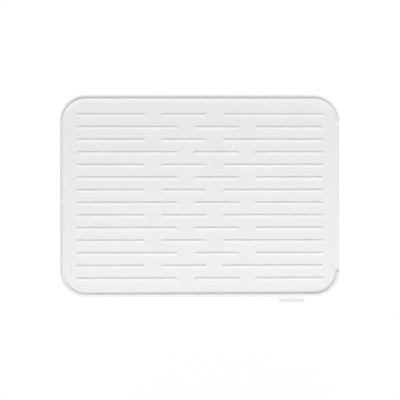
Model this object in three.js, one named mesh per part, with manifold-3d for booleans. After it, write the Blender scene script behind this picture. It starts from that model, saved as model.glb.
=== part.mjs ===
// A silicone dish drying mat, in millimetres: a thin sheet with staggered rows of raised ribs, a
// rim round three sides that keeps the water in, and a fourth side left open to drain into a sink.
// A soft tab for lifting the mat is keyed into the front of the rim.
// +Z is up, +X points to the open side and -Y to the front. The origin is on the underside, at the
// middle of the sheet.

import * as THREE from "three";
import { mergeVertices } from "three/addons/utils/BufferGeometryUtils.js";
import Module from "manifold-3d";

const wasm = await Module();
wasm.setup();

// Sheet
const matLength = 440;
const matWidth = 316;
const cornerRadius = 40;
const sheetThickness = 2;
const undersideEdgeRadius = 0.4;

// The open side thins out to a lip that the water runs off
const lipWidth = 3.2;
const lipEdgeThickness = 0.5;
const lipBrow = 1;

// Rim along the back, the closed end and the front, ending in a nose at each end of the open side
const rimWidth = 6.4;
const rimCrestInset = 3.45;
const rimRise = 5.15;
const rimCrestRadius = 1.4;
const rimRootFillet = 1.1;
const rimEndSetback = 1.6;

// Ribs: each row has a short, a middle and a long rib, and every second row is mirrored
const ribPitch = 20;
const ribWidth = 5.2;
const ribRise = 2.4;
const ribCrestRadius = 1.2;
const ribRootFillet = 0.5;
const ribGap = 25;
const ribEndMargin = 25;
const ribSideMargin = 28.6;
const shortRibLength = 108;
const middleRibLength = 72;

// Width of the flat that the moulding tool leaves along a crest
const rimCrestFlat = 0.6;
const ribCrestFlat = 0.5;

// Tab, and the tongue that keys it into the rim
const tabWidth = 40;
const tabProjection = 8.8;
const tabToOpenSide = 75.25;
const tabLipThickness = 1.6;
const tabCornerRadius = 2.8;
const tabSlope = THREE.MathUtils.degToRad(55);
const tabRootCurve = 1;
const tabCurlLength = 6.2;
const tabCurlRise = 1.6;
const tongueWidth = 34;
const tongueDepth = 2.2;
const tongueThickness = 1.6;
const tongueLift = 1.2;
const tabFitClearance = 0.3;

// How far a cutter runs past the surface that it cuts through
const cutOverrun = 2;

// Flats that stand for round stretches
const quarterTurn = Math.PI / 2;
const cornerSteps = 12;
const edgeSteps = 3;
const browSteps = 2;
const rimNoseSteps = 10;
const rimCrestSteps = 3;
const rimFilletSteps = 2;
const ribNoseSteps = 6;
const ribCrestSteps = 1;
const ribFilletSteps = 1;
const tabCurveSteps = 5;

const siliconeLook = { color: 0xf1f1ef, roughness: 0.55, metalness: 0 };

// Joining and cutting

function toSolid(geometry) {
  const bare = geometry.clone();
  bare.deleteAttribute("normal");
  bare.deleteAttribute("uv");
  const merged = mergeVertices(bare);
  const vertProperties = new Float32Array(merged.attributes.position.array);
  const triVerts = new Uint32Array(merged.index.array);
  return new wasm.Manifold(new wasm.Mesh({ numProp: 3, vertProperties, triVerts }));
}

function toGeometry(solid) {
  const mesh = solid.getMesh();
  const geometry = new THREE.BufferGeometry();
  geometry.setAttribute("position", new THREE.BufferAttribute(mesh.vertProperties, mesh.numProp));
  geometry.setIndex(new THREE.BufferAttribute(mesh.triVerts, 1));
  geometry.computeVertexNormals();
  return geometry;
}

// Lofts: rings of equal point counts, anticlockwise from above, one for each height

function loftGeometry(levels) {
  const count = levels[0].ring.length;
  const positions = levels.flatMap(({ z, ring }) => ring.flatMap((point) => [point.x, point.y, z]));
  const indices = [];
  for (let level = 0; level + 1 < levels.length; level += 1) {
    for (let i = 0; i < count; i += 1) {
      const a = level * count + i;
      const b = level * count + ((i + 1) % count);
      indices.push(a, b, b + count);
      indices.push(a, b + count, a + count);
    }
  }
  const topStart = (levels.length - 1) * count;
  for (const [a, b, c] of THREE.ShapeUtils.triangulateShape(levels[0].ring, [])) {
    indices.push(c, b, a);
  }
  for (const [a, b, c] of THREE.ShapeUtils.triangulateShape(levels.at(-1).ring, [])) {
    indices.push(topStart + a, topStart + b, topStart + c);
  }
  const geometry = new THREE.BufferGeometry();
  geometry.setAttribute("position", new THREE.Float32BufferAttribute(positions, 3));
  geometry.setIndex(indices);
  return geometry;
}

// The mat's corners, anticlockwise from the one at the back of the open side. Each gives the
// directions in which its arc faces, and its centre.
function cornerArcs() {
  return Array.from({ length: 4 }, (_, corner) => {
    const start = corner * quarterTurn;
    const middle = start + quarterTurn / 2;
    const centre = new THREE.Vector2(
      Math.sign(Math.cos(middle)) * (matLength / 2 - cornerRadius),
      Math.sign(Math.sin(middle)) * (matWidth / 2 - cornerRadius),
    );
    const facings = Array.from({ length: cornerSteps + 1 }, (__, step) => {
      const angle = start + (quarterTurn * step) / cornerSteps;
      return new THREE.Vector2(Math.cos(angle), Math.sin(angle));
    });
    return { centre, facings };
  });
}

// The mat's outline, drawn in from its edge by an inset
function matOutline(inset) {
  return cornerArcs().flatMap(({ centre, facings }) =>
    facings.map((facing) => facing.clone().multiplyScalar(cornerRadius - inset).add(centre)),
  );
}

// Sheet: a small radius under its edge, and above that the slope of the lip. The slope starts with
// a soft brow, a parabola that leaves the sheet's top level. The rim covers all of it but the open
// side.
function sheetGeometry() {
  const levels = [];
  for (let step = 0; step <= edgeSteps; step += 1) {
    const angle = (quarterTurn * step) / edgeSteps;
    levels.push({
      z: undersideEdgeRadius * (1 - Math.cos(angle)),
      ring: matOutline(undersideEdgeRadius * (1 - Math.sin(angle))),
    });
  }
  levels.push({ z: lipEdgeThickness, ring: matOutline(0) });
  const slope = (sheetThickness - lipEdgeThickness) / (lipWidth - lipBrow / 2);
  for (let step = browSteps; step >= 0; step -= 1) {
    const intoBrow = (lipBrow * step) / browSteps;
    levels.push({
      z: sheetThickness - (slope * intoBrow ** 2) / (2 * lipBrow),
      ring: matOutline(lipWidth - intoBrow),
    });
  }
  return loftGeometry(levels);
}

// Beads: the rim and the ribs have the same kind of section, a root fillet, a wall that leans in
// and a round crest. It is given as the reach from the crest line to the side at each height.

function wallAngle({ foot, rise, crestRadius }) {
  const toCentre = Math.hypot(foot, rise - crestRadius);
  return Math.atan2(rise - crestRadius, foot) + Math.asin(crestRadius / toCentre);
}

function sideReach(side, height) {
  const lean = wallAngle(side);
  const filletTop = side.rootFillet * (1 - Math.cos(lean));
  const filletReach = side.foot + side.rootFillet * Math.tan(lean / 2);
  const crestStart = side.rise - side.crestRadius * (1 - Math.cos(lean));
  if (height <= 0) {
    return filletReach;
  }
  if (height < filletTop) {
    return filletReach - Math.sqrt(side.rootFillet ** 2 - (side.rootFillet - height) ** 2);
  }
  if (height < crestStart) {
    return side.foot - height / Math.tan(lean);
  }
  const aboveCentre = height - (side.rise - side.crestRadius);
  const reach = Math.sqrt(Math.max(side.crestRadius ** 2 - aboveCentre ** 2, 0));
  return Math.max(reach, side.crestFlat / 2);
}

// Heights of a bead's levels above the sheet, after the one that is buried in it
function beadHeights(side, filletSteps, crestSteps) {
  const lean = wallAngle(side);
  const heights = [0];
  for (let step = 1; step <= filletSteps; step += 1) {
    heights.push(side.rootFillet * (1 - Math.cos((lean * step) / filletSteps)));
  }
  for (let step = 0; step < crestSteps; step += 1) {
    const slope = lean * (1 - step / crestSteps);
    heights.push(side.rise - side.crestRadius * (1 - Math.cos(slope)));
  }
  heights.push(side.rise);
  return heights;
}

// One level of a bead: along the outer side of its crest line, round the far nose, back along the
// inner side and round the near nose. Each place on a crest line has its point and the direction
// of its outer side, and the line runs a quarter turn to the left of that direction.
function beadRing(crestLine, outerReach, innerReach, noseSteps) {
  const place = ({ point, outward }, across, along) => {
    const reach = across > 0 ? across * outerReach : across * innerReach;
    const travel = new THREE.Vector2(-outward.y, outward.x);
    const noseReach = (outerReach + innerReach) / 2;
    return point.clone().addScaledVector(outward, reach).addScaledVector(travel, along * noseReach);
  };
  const nose = (end, direction) =>
    Array.from({ length: noseSteps - 1 }, (_, step) => {
      const angle = (2 * quarterTurn * (step + 1)) / noseSteps;
      return place(end, direction * Math.cos(angle), direction * Math.sin(angle));
    });
  return [
    ...crestLine.map((at) => place(at, 1, 0)),
    ...nose(crestLine.at(-1), 1),
    ...crestLine.map((at) => place(at, -1, 0)).reverse(),
    ...nose(crestLine[0], -1),
  ];
}

function beadGeometry(crestLine, outerSide, innerSide, steps) {
  const buriedLevel = { z: undersideEdgeRadius, height: 0 };
  const raisedLevels = beadHeights(innerSide, steps.fillet, steps.crest).map((height) => ({
    z: sheetThickness + height,
    height,
  }));
  const levels = [buriedLevel, ...raisedLevels].map(({ z, height }) => ({
    z,
    ring: beadRing(crestLine, sideReach(outerSide, height), sideReach(innerSide, height), steps.nose),
  }));
  return loftGeometry(levels);
}

// Rim: its crest line follows the outline from the back of the open side round to the front of it,
// and stops at both ends a little before the corner has come round to the open side.
function rimCrestLine() {
  const turnRadius = cornerRadius - rimCrestInset;
  const setbackTurn = rimEndSetback / turnRadius;
  const middle = new THREE.Vector2();
  const places = cornerArcs().flatMap(({ centre, facings }) =>
    facings.map((outward) => ({ centre, outward })),
  );
  places[0].outward.rotateAround(middle, setbackTurn);
  places.at(-1).outward.rotateAround(middle, -setbackTurn);
  return places.map(({ centre, outward }) => ({
    point: outward.clone().multiplyScalar(turnRadius).add(centre),
    outward,
  }));
}

// Its outer side is flush with the edge of the sheet, so only the inner side has a root fillet.
function rimGeometry() {
  const innerFoot = rimWidth - rimCrestInset;
  const crestRadius = Math.min(rimCrestRadius, rimCrestInset, innerFoot);
  const crest = { rise: rimRise, crestRadius, crestFlat: rimCrestFlat };
  const outerSide = { ...crest, foot: rimCrestInset, rootFillet: 0 };
  const innerSide = { ...crest, foot: innerFoot, rootFillet: rimRootFillet };
  const steps = { fillet: rimFilletSteps, crest: rimCrestSteps, nose: rimNoseSteps };
  return beadGeometry(rimCrestLine(), outerSide, innerSide, steps);
}

// Rib that runs along X between two ends
function ribGeometry(startX, endX, y) {
  const side = {
    foot: ribWidth / 2,
    rise: ribRise,
    crestRadius: Math.min(ribCrestRadius, ribWidth / 2),
    rootFillet: ribRootFillet,
    crestFlat: ribCrestFlat,
  };
  const outward = new THREE.Vector2(0, -1);
  const crestLine = [startX + side.foot, endX - side.foot].map((x) => ({
    point: new THREE.Vector2(x, y),
    outward,
  }));
  const steps = { fillet: ribFilletSteps, crest: ribCrestSteps, nose: ribNoseSteps };
  return beadGeometry(crestLine, side, side, steps);
}

// The ends of a row's ribs, from the closed end of the mat to its open side
function rowSpans() {
  const rowStart = ribEndMargin - matLength / 2;
  const middleStart = rowStart + shortRibLength + ribGap;
  const longStart = middleStart + middleRibLength + ribGap;
  return [
    [rowStart, rowStart + shortRibLength],
    [middleStart, middleStart + middleRibLength],
    [longStart, -rowStart],
  ];
}

function ribGeometries() {
  const rowsDepth = matWidth - 2 * ribSideMargin;
  const rowSteps = Math.round(rowsDepth / ribPitch);
  return Array.from({ length: rowSteps + 1 }, (_, row) => {
    const y = rowsDepth / 2 - (rowsDepth * row) / rowSteps;
    const mirrored = row % 2 === 1;
    return rowSpans().map(([start, end]) =>
      mirrored ? ribGeometry(-end, -start, y) : ribGeometry(start, end, y),
    );
  }).flat();
}

// Tab. Its profile is drawn outwards from the front edge of the mat and up from the underside.
// The seat in the rim reaches in to where the rim's round crest has the tab's own slope, so that
// the top of the tab runs on from the crest.

const tabX = matLength / 2 - tabToOpenSide;
const crestCentreHeight = sheetThickness + rimRise - rimCrestRadius;
const tabSeatDepth = rimCrestInset - rimCrestRadius * Math.sin(tabSlope);
const tabSeatHeight = crestCentreHeight + rimCrestRadius * Math.cos(tabSlope);

// A solid drawn in profile, out from the front edge and up, and run along X about the tab's middle
function frontProfileGeometry(shape, width) {
  const geometry = new THREE.ExtrudeGeometry(shape, {
    depth: width,
    bevelEnabled: false,
    curveSegments: tabCurveSteps,
  });
  const outward = new THREE.Vector3(0, -1, 0);
  const up = new THREE.Vector3(0, 0, 1);
  const along = new THREE.Vector3(-1, 0, 0);
  geometry.applyMatrix4(new THREE.Matrix4().makeBasis(outward, up, along));
  return geometry.translate(tabX + width / 2, -matWidth / 2, 0);
}

// A rectangle in that profile
function profileBlock(inner, outer, low, high) {
  return new THREE.Shape([
    new THREE.Vector2(inner, low),
    new THREE.Vector2(outer, low),
    new THREE.Vector2(outer, high),
    new THREE.Vector2(inner, high),
  ]);
}

function tabProfile() {
  const back = tabFitClearance - tabSeatDepth;
  const backTop = tabSeatHeight - tabFitClearance * Math.tan(tabSlope);
  const slopeFoot = back + (backTop - tabLipThickness) / Math.tan(tabSlope);
  const curlStart = tabProjection - tabCurlLength;
  const noseRadius = tabLipThickness / 2;
  const noseCentre = tabProjection - noseRadius;
  const curlMiddle = (curlStart + noseCentre) / 2;
  const profile = new THREE.Shape();
  profile.moveTo(back, 0);
  profile.lineTo(curlStart, 0);
  profile.quadraticCurveTo(curlMiddle, 0, noseCentre, tabCurlRise);
  profile.absarc(noseCentre, tabCurlRise + noseRadius, noseRadius, -quarterTurn, quarterTurn);
  profile.quadraticCurveTo(curlMiddle, tabLipThickness, curlStart, tabLipThickness);
  profile.lineTo(slopeFoot + tabRootCurve, tabLipThickness);
  profile.quadraticCurveTo(
    slopeFoot,
    tabLipThickness,
    slopeFoot - tabRootCurve * Math.cos(tabSlope),
    tabLipThickness + tabRootCurve * Math.sin(tabSlope),
  );
  profile.lineTo(back, backTop);
  return profile;
}

// Seen from above, the tab has two square corners in its seat and two round ones at its end
function tabOutline() {
  const half = tabWidth / 2;
  const end = -matWidth / 2 - tabProjection;
  const root = tabSeatDepth - matWidth / 2;
  const outline = new THREE.Shape();
  outline.moveTo(tabX + half, root);
  outline.lineTo(tabX - half, root);
  outline.lineTo(tabX - half, end + tabCornerRadius);
  outline.absarc(
    tabX - half + tabCornerRadius,
    end + tabCornerRadius,
    tabCornerRadius,
    2 * quarterTurn,
    3 * quarterTurn,
  );
  outline.absarc(
    tabX + half - tabCornerRadius,
    end + tabCornerRadius,
    tabCornerRadius,
    -quarterTurn,
    0,
  );
  return outline;
}

function tabSolid() {
  const run = toSolid(frontProfileGeometry(tabProfile(), tabWidth));
  const column = new THREE.ExtrudeGeometry(tabOutline(), {
    depth: tabSeatHeight + 2 * cutOverrun,
    bevelEnabled: false,
    curveSegments: tabCurveSteps,
  }).translate(0, 0, -cutOverrun);
  const tongue = profileBlock(
    -tabSeatDepth - tongueDepth,
    0,
    tongueLift,
    tongueLift + tongueThickness,
  );
  return run.intersect(toSolid(column)).add(toSolid(frontProfileGeometry(tongue, tongueWidth)));
}

// The seat that the tab fills in the front of the rim, with the slot for its tongue
function tabSeatSolid() {
  const seat = profileBlock(
    -tabSeatDepth,
    cutOverrun,
    -cutOverrun,
    sheetThickness + rimRise + cutOverrun,
  );
  const slot = profileBlock(
    -tabSeatDepth - tongueDepth - tabFitClearance,
    0,
    tongueLift - tabFitClearance,
    tongueLift + tongueThickness + tabFitClearance,
  );
  const seatSolid = toSolid(frontProfileGeometry(seat, tabWidth + 2 * tabFitClearance));
  return seatSolid.add(toSolid(frontProfileGeometry(slot, tongueWidth + 2 * tabFitClearance)));
}

// The moulding: sheet, rim and ribs are one body of silicone
function matSolid() {
  const ribs = ribGeometries().map(toSolid);
  const moulding = wasm.Manifold.union([toSolid(sheetGeometry()), toSolid(rimGeometry()), ...ribs]);
  return moulding.subtract(tabSeatSolid());
}

function siliconePiece(name, solid) {
  const piece = new THREE.Mesh(toGeometry(solid), new THREE.MeshStandardMaterial(siliconeLook));
  piece.name = name;
  return piece;
}

const dryingMat = new THREE.Group();
dryingMat.add(siliconePiece("mat", matSolid()));
dryingMat.add(siliconePiece("tab", tabSolid()));

export default dryingMat;
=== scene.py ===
# %% [markdown]
# A dish drying mat is one white silicone moulding with a small soft tab at its front. Seen from
# above it is almost flat, so everything that the eye reads as shape is a few millimetres high:
# the rows of ribs that lift the dishes, and the rim that keeps the water in. Those low reliefs
# are modelled at their true sections here, because bump shading alone would vanish from the side.
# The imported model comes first. It fixes where every piece lies, and the looks are built on it.
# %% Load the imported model
import math

import bpy
from mathutils import Matrix, Vector
from mathutils.geometry import delaunay_2d_cdt


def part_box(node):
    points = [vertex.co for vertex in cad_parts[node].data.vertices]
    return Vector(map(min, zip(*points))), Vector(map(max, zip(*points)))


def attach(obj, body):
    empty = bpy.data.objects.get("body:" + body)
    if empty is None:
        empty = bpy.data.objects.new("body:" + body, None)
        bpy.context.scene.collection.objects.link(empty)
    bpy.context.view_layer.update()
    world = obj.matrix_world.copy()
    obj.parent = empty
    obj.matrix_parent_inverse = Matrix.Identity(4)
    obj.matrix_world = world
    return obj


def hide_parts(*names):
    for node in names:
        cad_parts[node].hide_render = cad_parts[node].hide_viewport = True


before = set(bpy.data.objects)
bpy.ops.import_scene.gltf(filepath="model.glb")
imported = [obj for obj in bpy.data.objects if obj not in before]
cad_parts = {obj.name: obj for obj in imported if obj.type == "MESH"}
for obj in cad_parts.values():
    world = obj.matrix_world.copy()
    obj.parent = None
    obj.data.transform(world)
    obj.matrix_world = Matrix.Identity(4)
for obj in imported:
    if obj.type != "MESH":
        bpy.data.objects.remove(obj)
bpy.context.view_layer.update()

print("pieces in the packed model:", sorted(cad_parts))

# %% [markdown]
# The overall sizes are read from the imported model, so the fine surfaces can't drift from it.
# Small sizes that no box can tell are written in millimetres times MM, as they are on a drawing,
# each in the cell that first needs it. The first of them is a slope: the sheet falls a little
# towards the open side, so that the water runs off, while the top of the rim stays level. The
# shadow inside the front rim shows it, because it grows along the mat.
# %% Sizes of the mat
MM = 0.001

mat_low, mat_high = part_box("mat")
MAT_LENGTH = mat_high.x - mat_low.x
MAT_WIDTH = mat_high.y - mat_low.y
RIM_TOP = mat_high.z

SHEET_TOP = 2 * MM
SHEET_FALL = 1.6 * MM


def sheet_height(x):
    """Height of the sheet's top, which falls evenly from the closed end to the open side."""
    return SHEET_TOP - SHEET_FALL * x / MAT_LENGTH


print(f"mat: {MAT_LENGTH / MM:.0f} x {MAT_WIDTH / MM:.0f} x {RIM_TOP / MM:.1f} mm")
for end, x in (("closed end", mat_low.x), ("open side", mat_high.x)):
    print(f"sheet at the {end}: {sheet_height(x) / MM:.2f} mm")

# %% [markdown]
# A camera, a lamp or a mesh is only data in Blender. It shows once an object that holds it is
# linked to the scene, which the first helper does. Cameras and lamps look along their own -Z
# axis, so the second helper turns that axis to a target: the three axes of the turned object,
# written as the columns of a matrix, are its rotation.
# %% Helpers for objects


def add_object(name, data):
    """Adds an object to the scene for a camera, a lamp or a mesh."""
    new = bpy.data.objects.new(name, data)
    bpy.context.scene.collection.objects.link(new)
    return new


def aim(lamp_or_camera, place, target, roll=0.0):
    """Puts an object at a place and points its -Z axis at a target, with +Y up if not rolled."""
    lamp_or_camera.location = place
    looking = (Vector(target) - Vector(place)).normalized()
    across = looking.cross(Vector((math.sin(roll), math.cos(roll), 0))).normalized()
    up = across.cross(looking)
    lamp_or_camera.rotation_mode = "QUATERNION"
    basis = (across, up, -looking)
    lamp_or_camera.rotation_quaternion = Matrix(basis).transposed().to_quaternion()


# %% [markdown]
# The photograph looks straight down from far away, so the camera is a long lens over the mat. It
# leans a degree and a half to the closed end, because the rows of ribs stand a hair wider apart
# on that side, and it is rolled by a trace, because the rows climb a hair towards the right.
# A shifted lens could bring the mat to its place in the picture, but it would push it aside in
# other views, so the camera aims at the point of the mat that lies in the picture's middle.
# %% Camera
PICTURE_SIDE = 400
MAT_SPAN_IN_PICTURE = 278.55
MAT_MIDDLE_IN_PICTURE = (200.28, 196.8)
CAMERA_DISTANCE = 2.2
CAMERA_LEAN = math.radians(1.45)
CAMERA_ROLL = math.radians(0.07)
SENSOR_WIDTH = 36

length_per_pixel = MAT_LENGTH / MAT_SPAN_IN_PICTURE
picture_middle = Vector((
    (PICTURE_SIDE / 2 - MAT_MIDDLE_IN_PICTURE[0]) * length_per_pixel,
    (MAT_MIDDLE_IN_PICTURE[1] - PICTURE_SIDE / 2) * length_per_pixel,
    SHEET_TOP,
))
camera_data = bpy.data.cameras.new("camera_over_mat")
camera_data.sensor_width = SENSOR_WIDTH
camera_data.lens = SENSOR_WIDTH * CAMERA_DISTANCE / (PICTURE_SIDE * length_per_pixel)
camera = add_object("camera_over_mat", camera_data)
camera_side = Vector((-math.sin(CAMERA_LEAN), 0, math.cos(CAMERA_LEAN)))
camera_place = picture_middle + camera_side * CAMERA_DISTANCE
aim(camera, camera_place, picture_middle, roll=CAMERA_ROLL)
bpy.context.scene.camera = camera
bpy.context.scene.view_settings.view_transform = "Standard"
print(f"lens {camera_data.lens:.1f} mm, {length_per_pixel / MM:.3f} mm of mat in a pixel")

# %% [markdown]
# White on white is drawn by its shadows. One long softbox stands beyond the front edge, a little
# to the right: it lights the front faces of the ribs and leaves their back faces grey. Its size
# matters as much as its place. A small lamp or a sun would draw every rib with a hard line, and
# the larger the softbox is, the softer the edge of each shadow.
# %% Softbox
KEY_HEIGHT_ANGLE = math.radians(56.5)
KEY_SIDE_ANGLE = math.radians(8)
KEY_DISTANCE = 2.2
KEY_LENGTH = 2.0
KEY_DEPTH = 0.9
KEY_POWER = 25.7

key_direction = Vector((
    math.cos(KEY_HEIGHT_ANGLE) * math.sin(KEY_SIDE_ANGLE),
    -math.cos(KEY_HEIGHT_ANGLE) * math.cos(KEY_SIDE_ANGLE),
    math.sin(KEY_HEIGHT_ANGLE),
))


def add_key_lamp():
    """Adds the softbox and aims it at the mat's middle."""
    data = bpy.data.lights.new("soft_lamp_in_front", "AREA")
    data.shape = "RECTANGLE"
    data.size = KEY_LENGTH
    data.size_y = KEY_DEPTH
    data.energy = KEY_POWER
    aim(add_object("soft_lamp_in_front", data), key_direction * KEY_DISTANCE, (0, 0, 0))


add_key_lamp()
print(f"softbox: {KEY_LENGTH} by {KEY_DEPTH} m, {KEY_POWER} W")

# %% [markdown]
# Blender's materials, and its world too, are trees of nodes. Four small helpers keep the code
# that builds them short: one adds a node, one feeds a socket, one adds a sum or a product, and
# one tells the rays that see the scene from those that only light it.
# %% Helpers for nodes


def node(tree, kind, x=0, y=0, **settings):
    """Adds a shader node at a place in the node editor and sets its properties."""
    new = tree.nodes.new(kind)
    new.location = (x, y)
    for name, value in settings.items():
        setattr(new, name, value)
    return new


def feed(tree, value, socket):
    """Feeds a socket from the socket of another node, or sets it to a plain value."""
    if isinstance(value, bpy.types.NodeSocket):
        tree.links.new(value, socket)
    else:
        socket.default_value = value


def math_node(tree, operation, first, second, x, y):
    """Adds a Math node. Each side is a socket that feeds it or a plain number."""
    new = node(tree, "ShaderNodeMath", x, y, operation=operation)
    feed(tree, first, new.inputs[0])
    feed(tree, second, new.inputs[1])
    return new.outputs[0]


def seen_ray(tree, x, y):
    """1 for rays from the camera and for rays that a gloss or glass sends on, 0 for the others."""
    path = node(tree, "ShaderNodeLightPath", x, y)
    glossy = path.outputs["Is Glossy Ray"]
    through = path.outputs["Is Transmission Ray"]
    sent_on = math_node(tree, "MAXIMUM", glossy, through, x + 200, y - 120)
    return math_node(tree, "MAXIMUM", path.outputs["Is Camera Ray"], sent_on, x + 400, y)


# %% [markdown]
# The rest of the light comes from the room. A world can be one thing to look at and another as a
# lamp: here it is plain white to the camera, and as a light it is dimmer. It isn't the same all
# round either. It grows lighter from the worktop up to the ceiling and is a trace lighter in
# front, and two pale side walls make it lighter towards the left and the right.
# %% Room
ROOM_LIGHT = 0.325
ROOM_LEAN = (0.0, -0.08, 0.46)
SIDE_WALLS = 1.8


def room_brightness(tree, x, y):
    """The room's light from a direction: even, plus its steady change, plus the side walls."""
    place = node(tree, "ShaderNodeTexCoord", x, y)
    lean = node(tree, "ShaderNodeVectorMath", x + 200, y, operation="DOT_PRODUCT")
    lean.inputs[1].default_value = ROOM_LEAN
    tree.links.new(place.outputs["Generated"], lean.inputs[0])
    split = node(tree, "ShaderNodeSeparateXYZ", x + 200, y - 200)
    tree.links.new(place.outputs["Generated"], split.inputs[0])
    sideways = math_node(tree, "POWER", split.outputs["X"], 2, x + 400, y - 200)
    walls = math_node(tree, "MULTIPLY", sideways, SIDE_WALLS, x + 600, y - 200)
    change = math_node(tree, "ADD", lean.outputs["Value"], walls, x + 800, y)
    share = math_node(tree, "ADD", change, 1, x + 1000, y)
    return math_node(tree, "MULTIPLY", share, ROOM_LIGHT, x + 1200, y)


def light_world():
    """Seen directly the room is plain white. As a light it is dimmer and uneven."""
    world = bpy.data.worlds.new("soft_room")
    world.use_nodes = True
    tree = world.node_tree
    background = tree.nodes["Background"]
    background.inputs["Color"].default_value = (1, 1, 1, 1)
    strength = node(tree, "ShaderNodeMapRange", -200, 0)
    strength.inputs["To Max"].default_value = 1
    tree.links.new(seen_ray(tree, -900, 0), strength.inputs["Value"])
    tree.links.new(room_brightness(tree, -1700, -300), strength.inputs["To Min"])
    tree.links.new(strength.outputs["Result"], background.inputs["Strength"])
    bpy.context.scene.world = world


light_world()
print(f"room: light {ROOM_LIGHT}, changing by {ROOM_LEAN}, lighter by {SIDE_WALLS} at its sides")

# %% [markdown]
# To make the floor look white without more light, its own light has to be known. It is counted
# so that 1 would make a white floor white. A room that grows lighter by 1 from the horizon to the
# zenith adds two thirds to what falls on a level floor, and side walls that are lighter by 1 add
# a quarter. The lamp lights the floor less and less with distance, and being large, it counts as
# a little further away than it is.
# %% Light on the floor
RISE_ON_FLOOR = 2 / 3
WALLS_ON_FLOOR = 1 / 4
LAMP_SIZE_SHARE = 1 / 6

room_share = 1 + ROOM_LEAN[2] * RISE_ON_FLOOR + SIDE_WALLS * WALLS_ON_FLOOR
room_on_floor = ROOM_LIGHT * room_share
lamp_spread = KEY_DISTANCE ** 2 + (KEY_LENGTH ** 2 + KEY_DEPTH ** 2) * LAMP_SIZE_SHARE
lamp_on_floor = KEY_POWER * math.sin(KEY_HEIGHT_ANGLE) / (math.pi ** 2 * lamp_spread)
print(f"light on the floor: {room_on_floor:.3f} from the room, {lamp_on_floor:.3f} from the lamp")


def lamp_falloff(tree, x, y):
    """The lamp's light on a point of the floor, compared with its light under the mat's middle."""
    point = node(tree, "ShaderNodeNewGeometry", x, y)
    to_lamp = node(tree, "ShaderNodeVectorMath", x + 200, y, operation="SUBTRACT")
    to_lamp.inputs[0].default_value = key_direction * KEY_DISTANCE
    tree.links.new(point.outputs["Position"], to_lamp.inputs[1])
    along = node(tree, "ShaderNodeVectorMath", x + 400, y + 80, operation="DOT_PRODUCT")
    along.inputs[1].default_value = key_direction
    tree.links.new(to_lamp.outputs["Vector"], along.inputs[0])
    away = node(tree, "ShaderNodeVectorMath", x + 400, y - 80, operation="LENGTH")
    tree.links.new(to_lamp.outputs["Vector"], away.inputs[0])
    away_share = math_node(tree, "DIVIDE", away.outputs["Value"], KEY_DISTANCE, x + 600, y - 80)
    fourth_power = math_node(tree, "POWER", away_share, 4, x + 800, y - 80)
    along_share = math_node(tree, "DIVIDE", along.outputs["Value"], KEY_DISTANCE, x + 600, y + 80)
    return math_node(tree, "DIVIDE", along_share, fourth_power, x + 1000, y)


# %% [markdown]
# The floor is a pale matt plane under the mat. For the camera it glows by just what is missing
# to white. The glow is worked out from the lamp's own law of distance, and because it knows
# nothing of the mat, the mat's soft shadow stays on the floor in full.
# %% Floor
FLOOR_SIZE = 12
FLOOR_DROP = 0.05 * MM
FLOOR_COLOUR = 0.69


def add_floor():
    half = FLOOR_SIZE / 2
    data = bpy.data.meshes.new("worktop")
    corners = [(-half, -half), (half, -half), (half, half), (-half, half)]
    data.from_pydata([(x, y, -FLOOR_DROP) for x, y in corners], [], [(0, 1, 2, 3)])
    material = bpy.data.materials.new("pale_worktop")
    material.use_nodes = True
    tree = material.node_tree
    surface = tree.nodes["Principled BSDF"]
    surface.inputs["Base Color"].default_value = (FLOOR_COLOUR, FLOOR_COLOUR, FLOOR_COLOUR, 1)
    surface.inputs["Roughness"].default_value = 1
    surface.inputs["Specular IOR Level"].default_value = 0
    surface.inputs["Emission Color"].default_value = (1, 1, 1, 1)
    falloff = lamp_falloff(tree, -1900, -300)
    from_lamp = math_node(tree, "MULTIPLY", falloff, FLOOR_COLOUR * lamp_on_floor, -700, -300)
    white_without_room = 1 - FLOOR_COLOUR * room_on_floor
    missing = math_node(tree, "SUBTRACT", white_without_room, from_lamp, -500, -300)
    glow = math_node(tree, "MULTIPLY", missing, seen_ray(tree, -900, 0), -300, -200)
    tree.links.new(glow, surface.inputs["Emission Strength"])
    data.materials.append(material)
    add_object("worktop", data)


add_floor()
print(f"worktop: {FLOOR_SIZE} m wide, lies {FLOOR_DROP / MM:.2f} mm under the mat")

# %% [markdown]
# Rim and ribs share one kind of section: a fillet at the root, a wall that leans in so that the
# mat can leave its mould, and a round crest. A section is written as its height above the sheet
# at a distance from the crest line. One function then serves straight ribs, the rim's corners
# and the round noses alike, because on a nose the distance is simply taken from its middle.
# %% Section of a moulded bead
WALL_FLATS = 3
FILLET_FLATS = 5
CREST_FLATS = 8


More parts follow.
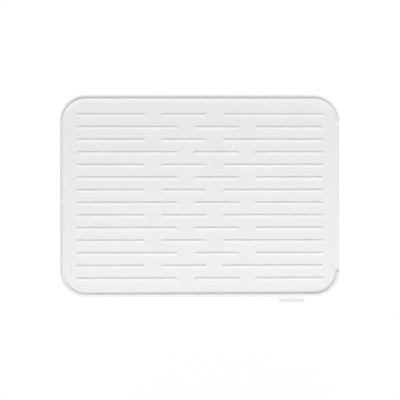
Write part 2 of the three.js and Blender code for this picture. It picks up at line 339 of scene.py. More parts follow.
class Section:
    """A bead's section: half its width at the foot, its rise, crest radius and root fillet."""

    def __init__(self, foot, rise, crest, fillet):
        self.foot = foot
        self.rise = rise
        self.crest = crest
        self.fillet = fillet
        to_centre = math.hypot(foot, rise - crest)
        self.lean = math.atan2(rise - crest, foot) + math.asin(crest / to_centre)
        self.fillet_reach = foot + fillet * math.tan(self.lean / 2)
        self.wall_foot = foot - fillet * math.tan(self.lean / 2) * math.cos(self.lean)
        self.wall_top = crest * math.sin(self.lean)

    def height(self, reach):
        """Height of the surface above the sheet at a distance from the crest line."""
        if reach >= self.fillet_reach:
            return 0.0
        if self.fillet and reach > self.wall_foot:
            return self.fillet - math.sqrt(self.fillet ** 2 - (self.fillet_reach - reach) ** 2)
        if reach > self.wall_top:
            return (self.foot - reach) * math.tan(self.lean)
        return self.rise - self.crest + math.sqrt(self.crest ** 2 - reach ** 2)

    def reaches(self):
        """Distances from the crest line, from the outer end of the fillet to the crest."""
        fillet_flats = FILLET_FLATS if self.fillet else 0
        fillet_turns = [self.lean * step / FILLET_FLATS for step in range(fillet_flats)]
        fillet = [self.fillet_reach - self.fillet * math.sin(turn) for turn in fillet_turns]
        wall_depth = self.wall_foot - self.wall_top
        wall = [self.wall_foot - wall_depth * step / WALL_FLATS for step in range(WALL_FLATS)]
        crest_turns = [self.lean * (1 - step / CREST_FLATS) for step in range(CREST_FLATS)]
        crest = [self.crest * math.sin(turn) for turn in crest_turns]
        return fillet + wall + crest + [0.0]


# %% [markdown]
# The two halves of the rim differ. The outer wall stands further from the crest and runs down to
# the mat's edge, so it has no fillet at its foot. As the rim's top is level and the sheet isn't,
# its section also depends on where along the mat it stands. The one at the middle of the mat
# tells later where a profile needs its points.
# %% Sizes of rim and ribs
RIM_CREST_INSET = 3.45 * MM
RIM_INNER_REACH = 2.95 * MM
RIM_CREST_RADIUS = 1.4 * MM
RIM_ROOT_FILLET = 1.1 * MM
RIB_WIDTH = 5.2 * MM
RIB_RISE = 2.4 * MM
RIB_CREST_RADIUS = 1.6 * MM
RIB_ROOT_FILLET = 1.0 * MM


def rim_sections(x):
    """The outer and the inner half of the rim's section, from the sheet's height at a place."""
    rise = RIM_TOP - sheet_height(x)
    outside = Section(RIM_CREST_INSET, rise, RIM_CREST_RADIUS, 0)
    inside = Section(RIM_INNER_REACH, rise, RIM_CREST_RADIUS, RIM_ROOT_FILLET)
    return outside, inside


middle_outside, middle_inside = rim_sections(0)
rib_section = Section(RIB_WIDTH / 2, RIB_RISE, RIB_CREST_RADIUS, RIB_ROOT_FILLET)
for name, section in (
    ("rim outside", middle_outside),
    ("rim inside", middle_inside),
    ("rib", rib_section),
):
    print(f"{name}: wall leans at {math.degrees(section.lean):.0f} degrees")

# %% [markdown]
# Meshes are collected in a plain list of points and faces. Rings with the same number of points
# are sewn together with four-sided faces, which keeps the surface smooth and the edge flow in
# line with the form. Only the flat fields, under the mat and between the ribs, are filled with
# triangles.
# %% Sewing helpers
SHARP_TURN = math.radians(40)
INSIDE_OF_OUTLINE = 1
JOIN_DISTANCE = 1e-9


class Shell:
    """Points and faces of a mesh while it grows."""

    def __init__(self):
        self.points = []
        self.faces = []

    def add(self, points):
        """Adds a row of points and returns their numbers."""
        start = len(self.points)
        self.points.extend(points)
        return list(range(start, len(self.points)))

    def sew(self, rings):
        """Joins each ring of points to the next. Faces look out if the rings run anticlockwise."""
        for lower, upper in zip(rings, rings[1:]):
            for i in range(len(lower)):
                j = (i + 1) % len(lower)
                self.faces.append((lower[i], lower[j], upper[j], upper[i]))

    def cap(self, ring, facing_down=False):
        """Closes a ring with one face."""
        self.faces.append(tuple(reversed(ring)) if facing_down else tuple(ring))

    def fill_flat(self, outline, holes, facing_down=False):
        """Fills a flat field inside an outline with triangles and leaves round holes open."""
        loops = [outline, *holes]
        order = [index for loop in loops for index in loop]
        hole_of = {index: number for number, hole in enumerate(holes) for index in hole}
        flat = [Vector(self.points[index][:2]) for index in order]
        edges = []
        start = 0
        for loop in loops:
            count = len(loop)
            edges += [(start + i, start + (i + 1) % count) for i in range(count)]
            start += count
        filled = delaunay_2d_cdt(flat, edges, [], INSIDE_OF_OUTLINE, JOIN_DISTANCE)
        _, _, faces, origins, _, _ = filled
        for face in faces:
            corners = tuple(order[origins[i][0]] for i in face)
            touched = {hole_of.get(index) for index in corners}
            in_a_hole = len(touched) == 1 and None not in touched
            if not in_a_hole:
                self.faces.append(tuple(reversed(corners)) if facing_down else corners)

    def build(self, name):
        """Makes the mesh object, smooth but for its sharp edges."""
        data = bpy.data.meshes.new(name)
        data.from_pydata(self.points, [], self.faces)
        data.validate()
        data.shade_smooth()
        data.set_sharp_from_angle(angle=SHARP_TURN)
        return add_object(name, data)


# %% [markdown]
# The tab at the front comes out of the rim's crest, so the rim has a seat there. Its depth isn't
# chosen freely: the seat reaches in to where the round crest has the tab's own slope, and the top
# of the tab then runs on from the crest without a step. A hairline is left between the two.
# %% Place of the tab
TAB_SLOPE = math.radians(55)
SEAM = 0.03 * MM
SEAT_DRAFT = 0.05 * MM

tab_low, tab_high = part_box("tab")
tab_middle_x = (tab_low.x + tab_high.x) / 2
tab_width = tab_high.x - tab_low.x
tab_projection = mat_low.y - tab_low.y
seat_depth = RIM_CREST_INSET - RIM_CREST_RADIUS * math.sin(TAB_SLOPE)
seat_top = RIM_TOP - RIM_CREST_RADIUS * (1 - math.cos(TAB_SLOPE))
print(f"tab: {tab_width / MM:.0f} mm wide, stands out {tab_projection / MM:.1f} mm")

# %% [markdown]
# The edge of the mat is one band: a profile that travels round the whole outline. The profile
# starts under the mat, turns round the lower edge, climbs the outer wall, passes over the crest
# and comes down to the sheet. A curve with a bevel could make such a rim, but the profile has to
# change on its way, and a bevel's can't. So it stops at places called stations, and each of them
# has the rim's section for the height of the sheet there. At each end of the open side the rim's
# crest line ends, a little before the corner has come round, and a station past that end measures
# its distances from it.
# %% Stations on the outline
CORNER_RADIUS = 40 * MM
RIM_END_SETBACK = 1.6 * MM

crest_turn_radius = CORNER_RADIUS - RIM_CREST_INSET
setback_turn = RIM_END_SETBACK / crest_turn_radius


class CrestEnd:
    """The end of the rim's crest line, with the directions outwards and on past the end."""

    def __init__(self, place, outwards, onwards):
        self.place = place
        self.outwards = outwards
        self.onwards = onwards

    def distances(self, point):
        """Distances of a point outwards from the line and on past its end."""
        way = point - self.place
        return way.dot(self.outwards), way.dot(self.onwards)


class Station:
    """A place on the mat's outline where the profile of the edge band stands."""

    def __init__(self, centre, facing, seat=False, crest_end=None, travelled=0.0):
        self.centre = centre
        self.facing = facing
        self.seat = seat
        self.crest_end = crest_end
        self.travelled = travelled
        crest_place = crest_end.place if crest_end else self.plan(RIM_CREST_INSET)
        self.outside, self.inside = rim_sections(crest_place.x)

    def plan(self, inset):
        """The place, seen from above, at an inset from the mat's edge."""
        return self.centre + self.facing * (CORNER_RADIUS - inset)

    def point(self, inset, z):
        """The point at an inset from the mat's edge and a height."""
        return (*self.plan(inset), z)

    def from_crest(self, inset):
        """Distances outwards from the crest line and on past its end."""
        if self.crest_end:
            return self.crest_end.distances(self.plan(inset))
        return RIM_CREST_INSET - inset, 0.0


print(f"crest line: ends {math.degrees(setback_turn):.1f} degrees before the end of a corner")

# %% [markdown]
# Two heights add up on the band. The rim's height comes from its section. Its outer and inner
# sides differ a little, and round the nose one passes over into the other. The lip is the thin
# slope at the open side that the water runs over. It grows out of nothing as a station leaves
# the end of the crest line.
# %% Height of the rim and of the lip
OPEN_EDGE_WIDTH = 2.4 * MM
OPEN_EDGE_THICKNESS = 0.45 * MM
OPEN_EDGE_BROW = 0.8 * MM
LIP_CHANGE = 4 * MM


def blend_over(value, length):
    """A soft change from 0 to 1 while a value runs from 0 to a length."""
    share = min(max(value / length, 0.0), 1.0)
    return share * share * (3 - 2 * share)


def lip_drop(inset):
    """How far the open side's lip lies below the sheet's top: a rounded brow, then a slope."""
    down_slope = OPEN_EDGE_WIDTH - inset
    drop = sheet_height(mat_high.x) - OPEN_EDGE_THICKNESS
    steepness = drop / (OPEN_EDGE_WIDTH - OPEN_EDGE_BROW / 2)
    if down_slope <= 0:
        return 0.0
    if down_slope < OPEN_EDGE_BROW:
        return steepness * down_slope ** 2 / (2 * OPEN_EDGE_BROW)
    return steepness * (down_slope - OPEN_EDGE_BROW / 2)


def rim_height(station, inset):
    """Height of the rim above the sheet, also past the end of its crest line."""
    across, along = station.from_crest(inset)
    reach = math.hypot(across, along)
    outer_share = (1 + across / reach) / 2 if reach else 1
    outside = station.outside.height(reach)
    return outside * outer_share + station.inside.height(reach) * (1 - outer_share)


def top_height(station, inset):
    """Height of the mat's upper surface at an inset from its edge."""
    lip = lip_drop(inset) * blend_over(station.travelled, LIP_CHANGE)
    return sheet_height(station.plan(inset).x) - lip + rim_height(station, inset)


print(f"lip: falls by {lip_drop(0) / MM:.2f} mm over {OPEN_EDGE_WIDTH / MM:.1f} mm")

# %% [markdown]
# A profile needs points where it bends and hardly any where it is straight, so its points are
# taken from the sections of the rim and of the lip together. All profiles have the same number
# of points, which is what lets them be sewn. At the seat of the tab the outer points are pressed
# back against the seat's upright wall.
# %% Profile of the band
QUARTER_TURN = math.pi / 2
UNDERSIDE_EDGE_RADIUS = 0.4 * MM
EDGE_FLATS = 5
LIP_FLATS = 6
BAND_WIDTH = 9 * MM
UNDERSIDE_COLLAR = 2.6 * MM
FIRST_INSET = 0.02 * MM


def band_insets():
    """Insets of the profile's upper points, close together where the middle's sections turn."""
    lip = [OPEN_EDGE_WIDTH * step / LIP_FLATS for step in range(1, LIP_FLATS + 1)]
    outer = [RIM_CREST_INSET - reach for reach in middle_outside.reaches()]
    inner = [RIM_CREST_INSET + reach for reach in middle_inside.reaches()]
    insets = sorted([FIRST_INSET, *lip, *outer, *inner, BAND_WIDTH])
    return [
        inset for before, inset in zip([-1, *insets], insets) if inset - before > FIRST_INSET
    ]


def rounded_edge(radius, flats):
    """Points round an edge, as their distances from the edge's two sides."""
    turns = [QUARTER_TURN * step / flats for step in range(flats + 1)]
    return [(radius * (1 - math.sin(turn)), radius * (1 - math.cos(turn))) for turn in turns]


def band_profile(station):
    """The profile at a station: from a collar under the mat to the field inside the rim."""
    lower = [(UNDERSIDE_COLLAR, 0.0), *rounded_edge(UNDERSIDE_EDGE_RADIUS, EDGE_FLATS)]
    upper = [(inset, top_height(station, inset)) for inset in band_insets()]
    profile = lower + upper
    if station.seat:
        cut = [i for i, (inset, _) in enumerate(profile) if i and inset < seat_depth]
        for rank, i in enumerate(cut):
            profile[i] = (seat_depth, top_height(station, seat_depth) * rank / (len(cut) - 1))
    return [station.point(inset, z) for inset, z in profile]


plain_station = Station(Vector((0, 0)), Vector((0, -1)))
print("points in a profile:", len(band_profile(plain_station)))

# %% [markdown]
# The outline's corners turn in small steps. They are counted anticlockwise, from the one at the
# back of the open side to the one at its front, and each of them takes a quarter turn.
# %% Corners
CORNER_FLATS = 36
BACK_OPEN, BACK_CLOSED, FRONT_CLOSED, FRONT_OPEN = range(4)


def facing_at(turn):
    """A direction seen from above, as a turn anticlockwise from the one of the open side."""
    return Vector((math.cos(turn), math.sin(turn)))


def corner_centre(corner):
    """The middle of a corner's arc, seen from above."""
    middle = (corner + 1 / 2) * QUARTER_TURN
    return Vector((
        math.copysign(MAT_LENGTH / 2 - CORNER_RADIUS, math.cos(middle)),
        math.copysign(MAT_WIDTH / 2 - CORNER_RADIUS, math.sin(middle)),
    ))


def corner_stations(corner, first_turn=0.0, last_turn=QUARTER_TURN):
    """Stations round a corner, between two turns counted from the corner's own start."""
    step_turn = (last_turn - first_turn) / CORNER_FLATS
    turns = [first_turn + step_turn * step for step in range(CORNER_FLATS + 1)]
    start = corner * QUARTER_TURN
    return [Station(corner_centre(corner), facing_at(start + turn)) for turn in turns]


print("stations round a corner:", len(corner_stations(BACK_CLOSED)))

# %% [markdown]
# The short sides need no stations of their own, because a flat face reaches from one corner to
# the next. The long sides have a few, because the rim's walls grow higher along them while the
# sheet falls. The seat of the tab has a station on each side of each of its ends, a hair apart,
# for its upright end walls.
# %% Long sides and seat of the tab
SIDE_FLATS = 12


def side_places():
    """Evenly spaced places between the corners of a long side."""
    half = MAT_LENGTH / 2 - CORNER_RADIUS
    return [half * (2 * step / SIDE_FLATS - 1) for step in range(1, SIDE_FLATS)]


def front_stations():
    """The front side with the tab's seat: a place outside and inside of each of its ends."""
    half = tab_width / 2 + SEAM
    stops = {x: False for x in side_places() if abs(x - tab_middle_x) > tab_width}
    for side in (-1, 1):
        stops[tab_middle_x + side * (half + SEAT_DRAFT)] = False
        stops[tab_middle_x + side * half] = True
    centre_y = CORNER_RADIUS - MAT_WIDTH / 2
    facing = Vector((0, -1))
    return [Station(Vector((x, centre_y)), facing, seat=stops[x]) for x in sorted(stops)]


def back_stations():
    """The back side, from the open side's corner to the closed end's."""
    centre_y = MAT_WIDTH / 2 - CORNER_RADIUS
    return [Station(Vector((x, centre_y)), Vector((0, 1))) for x in reversed(side_places())]


print("stations at the front:", len(front_stations()), "and at the back:", len(back_stations()))

# %% [markdown]
# Round a nose the surface turns within a few millimetres, so its stations stand close together.
# They start at the end of the crest line, go round the rest of the corner and on along the open
# side. The nose at the back is the mirror image of the one at the front.
# %% Noses
NOSE_STEP = 0.25 * MM
NOSE_END = 5 * MM


def front_nose_stations():
    """Stations past the end of the crest line at the front."""
    centre = corner_centre(FRONT_OPEN)
    outwards = facing_at(-setback_turn)
    onwards = Vector((-outwards.y, outwards.x))
    crest_end = CrestEnd(centre + outwards * crest_turn_radius, outwards, onwards)
    stations = []
    for step in range(1, round(NOSE_END / NOSE_STEP) + 1):
        travelled = step * NOSE_STEP
        past_corner = travelled - RIM_END_SETBACK
        facing = facing_at(min(past_corner, 0) / crest_turn_radius)
        here = centre + Vector((0, max(past_corner, 0)))
        stations.append(Station(here, facing, crest_end=crest_end, travelled=travelled))
    return stations


def flip(vector):
    """The mirror image of a place or a direction on the other half of the mat."""
    return Vector((vector.x, -vector.y))


def mirrored(station):
    """The station's mirror image on the back half of the mat."""
    end = station.crest_end
    other_end = CrestEnd(flip(end.place), flip(end.outwards), flip(end.onwards))
    here, facing = flip(station.centre), flip(station.facing)
    return Station(here, facing, crest_end=other_end, travelled=station.travelled)


print("stations round a nose:", len(front_nose_stations()))

# %% [markdown]
# Now the whole way round, anticlockwise from above. It starts where the crest line starts at the
# back of the open side, and the two corners beside the open side stop short where the noses take
# over.
# %% All stations in order


def outline_stations():
    """All stations in their order round the outline."""
    front_nose = front_nose_stations()
    return [
        *corner_stations(BACK_OPEN, first_turn=setback_turn),
        *back_stations(),
        *corner_stations(BACK_CLOSED),
        *corner_stations(FRONT_CLOSED),
        *front_stations(),
        *corner_stations(FRONT_OPEN, last_turn=QUARTER_TURN - setback_turn),
        *front_nose,
        *[mirrored(station) for station in reversed(front_nose)],
    ]


print("stations in all:", len(outline_stations()))

# %% [markdown]
# Sewing point number one of each profile to its neighbours gives a ring, point number two the
# next, and so on. The first and the last ring are handed back, because the flat fields under the
# mat and inside the rim grow from them.
# %% Edge band


def add_edge_band(shell):
    """Adds the band and returns its ring inside the rim and its ring under the mat."""
    profiles = [shell.add(band_profile(station)) for station in outline_stations()]
    rings = list(zip(*profiles))
    shell.sew(rings)
    print("edge band:", len(profiles), "profiles of", len(profiles[0]), "points")
    return list(rings[-1]), list(rings[0])


# %% [markdown]
# A rib could be a box with bevelled edges, but a moulded one has leaning walls and a fillet at
# its foot. So it is built from the outside in, as rings that hug its foot, climb its wall and
# close over the crest. The outermost ring lies on the flat sheet a little way off, so the field
# between the ribs is shaded dead flat and the light turns only where the real surface does.
# %% Ribs
RIB_COLLAR = 0.4 * MM
RIB_TIP = 0.1 * MM
RIB_NOSE_FLATS = 12


def rib_ring(start_x, end_x, y, reach):
    """A ring round a rib's crest line at the height of its section, anticlockwise from above."""
    ring = []
    for centre_x, first_turn in ((end_x, -QUARTER_TURN), (start_x, QUARTER_TURN)):
        for step in range(RIB_NOSE_FLATS + 1):
            turn = first_turn + 2 * QUARTER_TURN * step / RIB_NOSE_FLATS
            x = centre_x + reach * math.cos(turn)
            z = sheet_height(x) + rib_section.height(reach)
            ring.append((x, y + reach * math.sin(turn), z))
    return ring


def add_rib(shell, start_x, end_x, y):
    """Adds a rib and returns its outermost ring."""
    start = start_x + rib_section.foot
    end = end_x - rib_section.foot
    reaches = [rib_section.fillet_reach + RIB_COLLAR, *rib_section.reaches()[:-1], RIB_TIP]
    rings = [shell.add(rib_ring(start, end, y, reach)) for reach in reaches]
    shell.sew(rings)
    shell.cap(rings[-1])
    return rings[0]


# %% [markdown]
# Each row has a short, a middle and a long rib with equal gaps between them, and every second row
# is turned round. So no gap lies beside another, which keeps the mat stiff and leads the water in
# a zigzag towards the open side.
# %% Rows of ribs
RIB_PITCH = 20 * MM
RIB_SIDE_MARGIN = 28.6 * MM
RIB_END_MARGIN = 25 * MM
RIB_GAP = 25 * MM
SHORT_RIB = 108 * MM
MIDDLE_RIB = 72 * MM


def rib_rows():
    """The ends and the place of every rib. Every second row is the mirror image of the first."""
    depth = MAT_WIDTH - 2 * RIB_SIDE_MARGIN
    gaps = round(depth / RIB_PITCH)
    row_start = RIB_END_MARGIN - MAT_LENGTH / 2
    middle_start = row_start + SHORT_RIB + RIB_GAP
    long_start = middle_start + MIDDLE_RIB + RIB_GAP
    spans = [
        (row_start, row_start + SHORT_RIB),
        (middle_start, middle_start + MIDDLE_RIB),
        (long_start, -row_start),
    ]
    for row in range(gaps + 1):
        y = depth / 2 - depth * row / gaps
        for start, end in spans:
            yield (-end, -start, y) if row % 2 else (start, end, y)


print("ribs:", len(list(rib_rows())))

# %% [markdown]
# Band, ribs and fields make one closed shell, as the real moulding is one piece of silicone. Ribs
# joined to a sheet by a Boolean modifier would leave ragged faces round every foot. Here the
# field between the ribs is cut out round all their feet, and the underside is plain and flat.
# %% The moulding


def make_moulding():
    """Sews band, ribs and fields together."""
    shell = Shell()
    inner_ring, lower_ring = add_edge_band(shell)
    rib_feet = [add_rib(shell, start, end, y) for start, end, y in rib_rows()]
    shell.fill_flat(inner_ring, rib_feet)
    shell.fill_flat(lower_ring, [], facing_down=True)
    print("moulding:", len(rib_feet), "ribs,", len(shell.faces), "faces")
    return shell.build("drying_mat_moulding")


moulding = make_moulding()

# %% [markdown]
# The tab is a soft tongue: a wedge against the rim, a flat lip on the worktop, and an end that
# curls up a little, so that a finger gets under it. A bent box would keep one thickness, and this
# tongue changes both its thickness and its lean. So it is worked out as slices that stand upright
# across it, from the seat outwards.
# %% Slices of the tab


class Slice:
    """An upright slice of the tab: place of its middle, lean from upright, half its thickness."""

    def __init__(self, out, z, half, lean=0.0):
        self.out = out
        self.z = z
        self.half = half
        self.lean = lean

    def at(self, level):
        """Distance out from the mat's edge and height, at a level from the slice's middle."""
        return self.out - math.sin(self.lean) * level, self.z + math.cos(self.lean) * level


# %% [markdown]
# The top of the wedge goes down at the tab's slope and turns round its foot in a curve that three
# points define: where it starts, where its two straight lines would meet, and where it ends.
# Where a flat meets a curve there is one more slice close to the change, so the flat stays flat
# in its shading.
# %% Wedge of the tab
TAB_LIP = 1.6 * MM
TAB_ROOT_CURVE = 1 * MM
TAB_CURVE_FLATS = 10
TAB_COLLAR = 0.15 * MM


def wedge_slices():
    """From the seat down the wedge and round its foot to the flat lip."""
    back = SEAM - seat_depth
    back_top = seat_top - SEAM * math.tan(TAB_SLOPE)
    foot = back + (back_top - TAB_LIP) / math.tan(TAB_SLOPE)
    curve_start = foot - TAB_ROOT_CURVE * math.cos(TAB_SLOPE)
    curve_start_z = TAB_LIP + TAB_ROOT_CURVE * math.sin(TAB_SLOPE)
    tops = [
        (back, back_top),
        (curve_start - TAB_COLLAR, curve_start_z + TAB_COLLAR * math.tan(TAB_SLOPE)),
    ]
    for step in range(TAB_CURVE_FLATS + 1):
        t = step / TAB_CURVE_FLATS
        weights = ((1 - t) ** 2, 2 * t * (1 - t), t ** 2)
        outs = (curve_start, foot, foot + TAB_ROOT_CURVE)
        heights = (curve_start_z, TAB_LIP, TAB_LIP)
        out = sum(weight * value for weight, value in zip(weights, outs))
        tops.append((out, sum(weight * value for weight, value in zip(weights, heights))))
    tops.append((foot + TAB_ROOT_CURVE + TAB_COLLAR, TAB_LIP))
    return [Slice(out, top / 2, top / 2) for out, top in tops]


print("slices in the wedge:", len(wedge_slices()))

# %% [markdown]
# The rest of the lip rises by a power of the way along it: it starts level and grows steeper
# towards its end, like soft rubber that doesn't lie quite flat. A half circle closes the end. Its
# last slice stays a hair open, so that its points never meet in one.
# %% Curl of the tab
TAB_CURL_LENGTH = 6.2 * MM
TAB_CURL_RISE = 1.9 * MM
TAB_CURL_POWER = 1.6
TAB_CURL_FLATS = 12
TAB_END_FLATS = 6
TAB_END_OPENING_SHARE = 0.5


def curl_slices():
    """The rest of the lip, which curls up, and the half circle that closes its end."""
    half = TAB_LIP / 2
    start = tab_projection - TAB_CURL_LENGTH
    end = tab_projection - half
    slices = [Slice(start - TAB_COLLAR, half, half)]
    for step in range(TAB_CURL_FLATS + 1):
        t = step / TAB_CURL_FLATS
        steepness = TAB_CURL_RISE * TAB_CURL_POWER * t ** (TAB_CURL_POWER - 1) / (end - start)
        rise = TAB_CURL_RISE * t ** TAB_CURL_POWER
        slices.append(Slice(start + (end - start) * t, half + rise, half, math.atan(steepness)))
    last = slices[-1]
    for step in range(1, TAB_END_FLATS + 1):
        turn = QUARTER_TURN * step / (TAB_END_FLATS + TAB_END_OPENING_SHARE)
        beyond = half * math.sin(turn)
        out = last.out + beyond * math.cos(last.lean)
        z = last.z + beyond * math.sin(last.lean)
        slices.append(Slice(out, z, half * math.cos(turn), last.lean))
    return slices


tab_slices = wedge_slices() + curl_slices()
print(f"tab: {len(tab_slices)} slices, the end curls up {TAB_CURL_RISE / MM:.2f} mm")

# %% [markdown]
# Each slice becomes a ring whose four edges are rounded. In its seat the tab's edges are almost
# sharp, because there it was bonded flush with the rim, and they grow round as it leaves the rim.
# On a thin slice they stop short of its middle, so that they never meet in one point. Seen from
# above, the end has two round corners.
# %% Rings of the tab
TAB_CORNER_RADIUS = 2.8 * MM
TAB_EDGE_RADIUS = 0.45 * MM
TAB_SEAT_EDGE_RADIUS = 0.1 * MM
TAB_EDGE_FLATS = 4
TAB_EDGE_LIMIT = 0.9


def tab_half_width(out):
    """Half the tab's width at a distance out from the mat's edge."""
    into_corner = out - (tab_projection - TAB_CORNER_RADIUS)
    if into_corner <= 0:
        return tab_width / 2
    depth = min(into_corner, TAB_CORNER_RADIUS)
    return tab_width / 2 - TAB_CORNER_RADIUS + math.sqrt(TAB_CORNER_RADIUS ** 2 - depth ** 2)


def tab_ring(cut):
    """The ring of points round a slice, with a collar on the flat beside each rounded edge."""
    grown = blend_over(cut.out + seat_depth, 2 * seat_depth)
    radius = TAB_SEAT_EDGE_RADIUS + (TAB_EDGE_RADIUS - TAB_SEAT_EDGE_RADIUS) * grown
    edge = min(radius, TAB_EDGE_LIMIT * cut.half)
    half_width = tab_half_width(cut.out)
    ring = []
    for side, level in ((1, -1), (1, 1), (-1, 1), (-1, -1)):
        corner = [(edge + TAB_COLLAR, 0.0), *rounded_edge(edge, TAB_EDGE_FLATS)]
        if side == level:
            corner.reverse()
        for from_side, from_face in corner:
            out, z = cut.at(level * (cut.half - from_face))
            ring.append((tab_middle_x + side * (half_width - from_side), mat_low.y - out, z))
    return ring


print("points in a ring of the tab:", len(tab_ring(tab_slices[0])))

# %% [markdown]
# The rings are sewn together from the seat to the curled end, and the first and the last of them
# are closed. The tab is smooth and plain all over.
# %% Tab


def make_tab():
    """Sews the tab's rings together and closes both ends."""
    shell = Shell()
    rings = [shell.add(tab_ring(cut)) for cut in tab_slices]
    shell.sew(rings)
    shell.cap(rings[0], facing_down=True)
    shell.cap(rings[-1])
    print("tab:", len(rings), "rings,", len(shell.faces), "faces")
    return shell.build("lifting_tab")


tab = make_tab()

# %% [markdown]
# White silicone is neither paper nor gloss plastic. Light sinks a little way into it, so its
# shadows stay soft. Its skin is satin, because the mould was blasted with fine beads, and where
# hands and dishes rub, the fine grain has worn smoother. Both pieces are of the same silicone, so
# each of these effects is a node group that is built once and placed in both materials with
# values of its own. The helper below starts such a group and names its sockets.
# %% Helper for node groups


def start_group(name, inputs, output):
    """A group with named number sockets. Returns its tree, its input node and its output node."""
    tree = bpy.data.node_groups.new(name, "ShaderNodeTree")
    for socket_name, usual_value in inputs.items():
        socket = tree.interface.new_socket(
            name=socket_name, in_out="INPUT", socket_type="NodeSocketFloat"
        )
        socket.default_value = usual_value
    tree.interface.new_socket(name=output, in_out="OUTPUT", socket_type="NodeSocketFloat")
    given = node(tree, "NodeGroupInput", -1000, 0)
    result = node(tree, "NodeGroupOutput", 800, 0)
    return tree, given, result


def smooth_step(tree, value, low, high, x, y):
    """A soft change from 0 to 1 between two bounds, each a socket or a plain number."""
    step = node(tree, "ShaderNodeMapRange", x, y, interpolation_type="SMOOTHSTEP")
    for name, source in (("Value", value), ("From Min", low), ("From Max", high)):
        feed(tree, source, step.inputs[name])
    return step.outputs["Result"]


# %% [markdown]
# The grain of a bead-blasted mould is a field of tiny dimples about a third of a millimetre
# apart. As real dents they would take millions of faces, so they only bend the shading. Each one
# is the cell of a Voronoi pattern, and a fine noise over them breaks up their regular look. The
# group gives only a height. The material decides how deep it is.
# %% Mould grain
GRAIN_SIZE = 0.35 * MM
ROUGHENING_DETAIL = 3
ROUGHENING_FINE_SHARE = 0.6


def build_mould_grain():
    """The group that gives the height of the grain."""
    tree, given, result = start_group("mould_grain", {"Grain Size": GRAIN_SIZE}, "Height")
    place = node(tree, "ShaderNodeTexCoord", -1000, 300)
    grains_per_metre = math_node(tree, "DIVIDE", 1, given.outputs["Grain Size"], -800, 0)
    dimples = node(tree, "ShaderNodeTexVoronoi", -500, 200)
    roughening = node(tree, "ShaderNodeTexNoise", -500, -200)
    roughening.inputs["Detail"].default_value = ROUGHENING_DETAIL
    roughening.inputs["Roughness"].default_value = ROUGHENING_FINE_SHARE
    for texture in (dimples, roughening):
        tree.links.new(place.outputs["Object"], texture.inputs["Vector"])
        tree.links.new(grains_per_metre, texture.inputs["Scale"])
    distance, noise = dimples.outputs["Distance"], roughening.outputs["Fac"]
    height = math_node(tree, "MULTIPLY", distance, noise, -200, 0)
    tree.links.new(height, result.inputs["Height"])
    return tree


mould_grain = build_mould_grain()
print("grain:", round(1 / GRAIN_SIZE), "dimples in a metre")

# %% [markdown]
# No sheet of silicone is perfectly even. It cures a little whiter here and a little greyer there,
# and it lies in very shallow waves a few centimetres long, which is what tells the eye that the
# mat is soft. One cloudy field serves for both, so the greyer places are also the high ones.
# %% Soft patches
PATCH_SIZE = 45 * MM
CLOUD_DETAIL = 2
CLOUD_FINE_SHARE = 0.45
CLOUD_RANGE = (0.25, 0.75)


def build_soft_patches():
    """The group that gives a cloudy mask from 0 to 1."""
    tree, given, result = start_group("soft_patches", {"Patch Size": PATCH_SIZE}, "Patches")
    place = node(tree, "ShaderNodeTexCoord", -1000, 300)
    patches_per_metre = math_node(tree, "DIVIDE", 1, given.outputs["Patch Size"], -800, 0)
    clouds = node(tree, "ShaderNodeTexNoise", -500, 100)
    clouds.inputs["Detail"].default_value = CLOUD_DETAIL
    clouds.inputs["Roughness"].default_value = CLOUD_FINE_SHARE
    tree.links.new(place.outputs["Object"], clouds.inputs["Vector"])
    tree.links.new(patches_per_metre, clouds.inputs["Scale"])
    spread = smooth_step(tree, clouds.outputs["Fac"], *CLOUD_RANGE, -200, 100)
    tree.links.new(spread, result.inputs["Patches"])
    return tree


soft_patches = build_soft_patches()
print(f"patches: about {PATCH_SIZE / MM:.0f} mm across")

# %% [markdown]
# Wear on a mat is on its tops: plates slide over the ribs, and hands lift it by the rim and the
# tab. The mask for it asks two things of a point: does it lie high enough over the sloping sheet,
# and does it face up? A noise leaves gaps in it, as real rubbing does.
# %% Rubbed tops
RUB_GAP_SIZE = 12 * MM
RUB_GAP_RANGE = (0.3, 0.6)
FACES_UP = (0.6, 0.97)


def build_rubbed_tops():
    """The group that gives a mask of the places that dishes and hands rub."""
    inputs = {"Low Height": SHEET_TOP, "High Height": SHEET_TOP + RIB_RISE, "Sheet Fall": 0}
    tree, given, result = start_group("rubbed_tops", inputs, "Rubbed")
    place = node(tree, "ShaderNodeTexCoord", -1000, 300)
    position = node(tree, "ShaderNodeSeparateXYZ", -800, 300)
    tree.links.new(place.outputs["Object"], position.inputs[0])
    facing = node(tree, "ShaderNodeSeparateXYZ", -800, 100)
    tree.links.new(place.outputs["Normal"], facing.inputs[0])
    low, high, fall = (given.outputs[name] for name in inputs)
    fallen = math_node(tree, "MULTIPLY", position.outputs["X"], fall, -650, 450)
    height = math_node(tree, "ADD", position.outputs["Z"], fallen, -650, 300)
    raised = smooth_step(tree, height, low, high, -500, 300)
    level = smooth_step(tree, facing.outputs["Z"], *FACES_UP, -500, 0)
    gaps = node(tree, "ShaderNodeTexNoise", -800, -250)
    gaps.inputs["Scale"].default_value = 1 / RUB_GAP_SIZE
    tree.links.new(place.outputs["Object"], gaps.inputs["Vector"])
    kept = smooth_step(tree, gaps.outputs["Fac"], *RUB_GAP_RANGE, -500, -250)
    top = math_node(tree, "MULTIPLY", raised, level, -200, 150)
    tree.links.new(math_node(tree, "MULTIPLY", top, kept, 0, 0), result.inputs["Rubbed"])
    return tree


rubbed_tops = build_rubbed_tops()
print("node groups:", sorted(group.name for group in bpy.data.node_groups))

# %% [markdown]
# Two more helpers place a group in a material and turn a height into a bent normal. The shallow
# waves and the grain go through two Bump nodes, one on the other, because they have very
# different depths.
# %% Helpers for groups and bumps


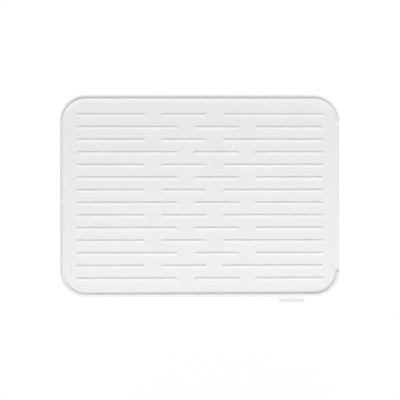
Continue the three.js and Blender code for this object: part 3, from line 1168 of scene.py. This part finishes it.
def place_group(tree, group, x, y, **values):
    """Places a group in a material. Values are given by socket name, with _ for a blank."""
    placed = node(tree, "ShaderNodeGroup", x, y, node_tree=group)
    for name, value in values.items():
        placed.inputs[name.replace("_", " ")].default_value = value
    return placed.outputs[0]


def bump(tree, height, depth, x, y, below=None):
    """A Bump node of a given depth, on top of another one's normal if there is one below."""
    new = node(tree, "ShaderNodeBump", x, y)
    new.inputs["Distance"].default_value = depth
    tree.links.new(height, new.inputs["Height"])
    if below:
        tree.links.new(below, new.inputs["Normal"])
    return new.outputs["Normal"]


# %% [markdown]
# The two materials have the same nodes and differ in the numbers. Clean silicone and patchy
# silicone are mixed for the colour. Roughness rises in the patches and falls where the tops are
# rubbed, and the grain is shallower there too. Light sinks in by less than a millimetre.
# %% Silicone
WHITE = (0.864, 0.864, 0.862, 1)
GREYER_WHITE = (0.856, 0.856, 0.853, 1)
SATIN = 0.5
PATCH_ROUGHNESS = 0.08
RUBBED_SHINE = 0.14
RUBBED_GRAIN = 0.6
SILICONE_IOR = 1.41
SINK_IN = 0.8 * MM
SINK_IN_SHARE = 0.15


def make_silicone(name, rub_from, rub_to, sheet_fall, patch_size, wave_depth, grain_depth):
    """Makes a material from the three groups, with values of its own."""
    material = bpy.data.materials.new(name)
    material.use_nodes = True
    tree = material.node_tree
    surface = tree.nodes["Principled BSDF"]
    surface.inputs["IOR"].default_value = SILICONE_IOR
    surface.inputs["Subsurface Weight"].default_value = SINK_IN_SHARE
    surface.inputs["Subsurface Radius"].default_value = (1, 1, 1)
    surface.inputs["Subsurface Scale"].default_value = SINK_IN

    patches = place_group(tree, soft_patches, -1100, 300, Patch_Size=patch_size)
    rubbed = place_group(
        tree, rubbed_tops, -1100, 0,
        Low_Height=rub_from, High_Height=rub_to, Sheet_Fall=sheet_fall,
    )
    grain = place_group(tree, mould_grain, -1100, -300, Grain_Size=GRAIN_SIZE)

    colour = node(tree, "ShaderNodeMix", -700, 400, data_type="RGBA")
    colour.inputs["A"].default_value = WHITE
    colour.inputs["B"].default_value = GREYER_WHITE
    tree.links.new(patches, colour.inputs["Factor"])
    tree.links.new(colour.outputs["Result"], surface.inputs["Base Color"])

    patchy = math_node(tree, "MULTIPLY", patches, PATCH_ROUGHNESS, -800, 150)
    satin = math_node(tree, "ADD", patchy, SATIN - PATCH_ROUGHNESS / 2, -600, 150)
    shine = math_node(tree, "MULTIPLY", rubbed, RUBBED_SHINE, -800, 0)
    roughness = math_node(tree, "SUBTRACT", satin, shine, -400, 100)
    tree.links.new(roughness, surface.inputs["Roughness"])

    worn = math_node(tree, "MULTIPLY", rubbed, RUBBED_GRAIN, -800, -150)
    grain_left = math_node(tree, "SUBTRACT", 1, worn, -600, -150)
    kept_grain = math_node(tree, "MULTIPLY", grain, grain_left, -400, -250)
    waves = bump(tree, patches, wave_depth, -400, -450)
    grained = bump(tree, kept_grain, grain_depth, -200, -300, below=waves)
    tree.links.new(grained, surface.inputs["Normal"])
    return material


# %% [markdown]
# On the mat the rub begins halfway up the ribs, counted from the sloping sheet, and on the tab
# where its end curls up. The tab is small, so its patches are smaller than the mat's and its
# waves and its grain are shallower.
# %% Two materials
MAT_WAVE_DEPTH = 0.12 * MM
MAT_GRAIN_DEPTH = 0.03 * MM
TAB_PATCH_SHARE = 1 / 3
TAB_WAVE_DEPTH = 0.04 * MM
TAB_GRAIN_DEPTH = 0.02 * MM

mat_material = make_silicone(
    "white_silicone",
    rub_from=SHEET_TOP + RIB_RISE / 2,
    rub_to=SHEET_TOP + RIB_RISE,
    sheet_fall=SHEET_FALL / MAT_LENGTH,
    patch_size=PATCH_SIZE,
    wave_depth=MAT_WAVE_DEPTH,
    grain_depth=MAT_GRAIN_DEPTH,
)
tab_material = make_silicone(
    "white_silicone_tab",
    rub_from=TAB_LIP,
    rub_to=TAB_LIP + TAB_CURL_RISE,
    sheet_fall=0,
    patch_size=PATCH_SIZE * TAB_PATCH_SHARE,
    wave_depth=TAB_WAVE_DEPTH,
    grain_depth=TAB_GRAIN_DEPTH,
)
moulding.data.materials.append(mat_material)
tab.data.materials.append(tab_material)
print("materials:", mat_material.name, "and", tab_material.name)

# %% [markdown]
# Both pieces are now handed over to the imported model. Each one rides on the body that carries it
# and takes the place of the plain solid of its own name.
# The model has a single body, because nothing on a mat turns or slides.
# %% Hand the pieces over
for piece, cad_node, slot in (
    (moulding, "mat", "mat_silicone"),
    (tab, "tab", "tab_silicone"),
):
    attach(piece, "root")
    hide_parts(cad_node)
    print(piece.name, "takes the place of", cad_node)
